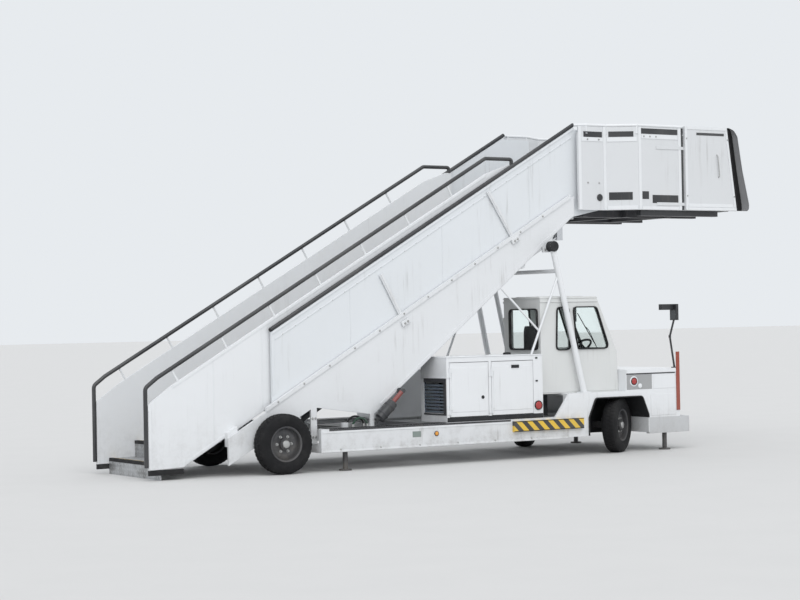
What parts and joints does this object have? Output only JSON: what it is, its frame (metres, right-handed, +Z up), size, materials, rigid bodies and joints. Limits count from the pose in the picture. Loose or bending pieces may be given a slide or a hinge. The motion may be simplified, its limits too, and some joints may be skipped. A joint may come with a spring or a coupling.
{
  "type": "self-propelled telescopic aircraft passenger stairs",
  "caption": "Self-propelled passenger stairs with a driver's half cab, a telescoping upper flight on a sloping frame and a boarding platform with sliding side guards.",
  "frame": {"origin": "on the ground under the middle of the overall length, on the vehicle's centre plane", "axes": "+X towards the front, where the cab's windscreen and the platform's open end face; +Y to the vehicle's left; +Z up"},
  "size_m": [8.7218, 2.3128, 4.226],
  "materials": {
    "white_paint": "satin",
    "cab_paint": "satin",
    "dark_steel": "satin",
    "bright_steel": "polished",
    "tread_aluminium": "brushed",
    "rail_black": "satin",
    "bumper_grey": "satin",
    "rubber_black": "matte",
    "tyre": "matte",
    "window_glass": "clear",
    "seat_cover": "matte",
    "black_plastic": "matte",
    "lamp_red": "gloss",
    "hazard_yellow": "satin"
  },
  "bodies": {
    "vehicle": {"chassis_frame": "white_paint", "stair_frame": "white_paint", "front_posts": "white_paint", "deck_plates": "dark_steel", "lower_side_panels": "white_paint", "lower_steps": "tread_aluminium", "lower_handrails": "rail_black", "foot_edges": "rubber_black", "engine_box": "white_paint", "engine_block": "dark_steel", "radiator_grille": "black_plastic", "tank_box": "white_paint", "cab_shell": "cab_paint", "cab_windows": "window_glass", "cab_seat": "seat_cover", "dash": "black_plastic", "steering_wheel": "black_plastic", "front_body": "white_paint", "front_bumper": "bumper_grey", "mirrors": "rail_black", "lamps": "lamp_red", "hazard_step": "hazard_yellow", "front_axle": "dark_steel", "rear_axle": "dark_steel", "jack_tubes": "dark_steel", "extension_barrels": "dark_steel", "hoses": "rubber_black"},
    "upper_flight": {"upper_side_panels": "white_paint", "upper_steps": "tread_aluminium", "upper_handrails": "rail_black", "extension_rods": "bright_steel", "platform_floor": "tread_aluminium", "platform_beams": "dark_steel", "platform_walls": "white_paint", "platform_rails": "white_paint", "platform_edge": "rubber_black"},
    "right_guard": {"guard_right": "white_paint", "guard_seal_right": "rubber_black"},
    "left_guard": {"guard_left": "white_paint", "guard_seal_left": "rubber_black"},
    "driver_door": {"cab_door": "cab_paint", "cab_door_window": "window_glass"},
    "engine_cover": {"engine_door": "white_paint"},
    "service_cover": {"service_door": "white_paint"},
    "rear_right_jack": {"jack_rear_right": "bright_steel"},
    "rear_left_jack": {"jack_rear_left": "bright_steel"},
    "front_right_jack": {"jack_front_right": "bright_steel"},
    "front_left_jack": {"jack_front_left": "bright_steel"},
    "right_knuckle": {"knuckle_right": "dark_steel"},
    "left_knuckle": {"knuckle_left": "dark_steel"},
    "front_right_wheel": {"tyre_front_right": "tyre", "rim_front_right": "white_paint"},
    "front_left_wheel": {"tyre_front_left": "tyre", "rim_front_left": "white_paint"},
    "rear_right_wheel": {"tyre_rear_right": "tyre", "rim_rear_right": "white_paint"},
    "rear_left_wheel": {"tyre_rear_left": "tyre", "rim_rear_left": "white_paint"}
  },
  "joints": [
    {"name": "extend", "type": "slide", "parent": "vehicle", "child": "upper_flight", "axis": [0.8692, 0, 0.4945], "range_m": [-0.5, 1.6]},
    {"name": "right_guard_slide", "type": "slide", "parent": "upper_flight", "child": "right_guard", "axis": [1, 0, 0], "range_m": [-0.35, 0.2]},
    {"name": "left_guard_slide", "type": "slide", "parent": "upper_flight", "child": "left_guard", "axis": [1, 0, 0], "range_m": [-0.35, 0.2]},
    {"name": "cab_door_hinge", "type": "hinge", "parent": "vehicle", "child": "driver_door", "pos_m": [1.057, -0.109, 1.35], "axis": [0, 0, 1], "range_deg": [0, 110]},
    {"name": "engine_door_hinge", "type": "hinge", "parent": "vehicle", "child": "engine_cover", "pos_m": [-0.463, -1.061, 0.9], "axis": [0, 0, -1], "range_deg": [0, 110]},
    {"name": "service_door_hinge", "type": "hinge", "parent": "vehicle", "child": "service_cover", "pos_m": [0.157, -1.061, 0.9], "axis": [0, 0, -1], "range_deg": [0, 95]},
    {"name": "rear_right_jack_slide", "type": "slide", "parent": "vehicle", "child": "rear_right_jack", "axis": [0, 0, 1], "range_m": [0, 0.2]},
    {"name": "rear_left_jack_slide", "type": "slide", "parent": "vehicle", "child": "rear_left_jack", "axis": [0, 0, 1], "range_m": [0, 0.2]},
    {"name": "front_right_jack_slide", "type": "slide", "parent": "vehicle", "child": "front_right_jack", "axis": [0, 0, 1], "range_m": [0, 0.2]},
    {"name": "front_left_jack_slide", "type": "slide", "parent": "vehicle", "child": "front_left_jack", "axis": [0, 0, 1], "range_m": [0, 0.2]},
    {"name": "right_steer", "type": "hinge", "parent": "vehicle", "child": "right_knuckle", "pos_m": [2.134, -0.795, 0.35], "axis": [0, 0, 1], "range_deg": [-64, 2]},
    {"name": "left_steer", "type": "hinge", "parent": "vehicle", "child": "left_knuckle", "pos_m": [2.134, 0.795, 0.35], "axis": [0, 0, 1], "range_deg": [-64, 2]},
    {"name": "front_right_roll", "type": "hinge", "parent": "right_knuckle", "child": "front_right_wheel", "pos_m": [2.20554, -0.90949, 0.35], "axis": [-0.5299, 0.848, 0], "continuous": true},
    {"name": "front_left_roll", "type": "hinge", "parent": "left_knuckle", "child": "front_left_wheel", "pos_m": [2.06246, 0.90949, 0.35], "axis": [-0.5299, 0.848, 0], "continuous": true},
    {"name": "rear_right_roll", "type": "hinge", "parent": "vehicle", "child": "rear_right_wheel", "pos_m": [-2.706, -0.93, 0.35], "axis": [0, 1, 0], "continuous": true},
    {"name": "rear_left_roll", "type": "hinge", "parent": "vehicle", "child": "rear_left_wheel", "pos_m": [-2.706, 0.93, 0.35], "axis": [0, 1, 0], "continuous": true}
  ],
  "couplings": [
    {"joint": "left_steer", "follows": "right_steer", "ratio": 1}
  ]
}
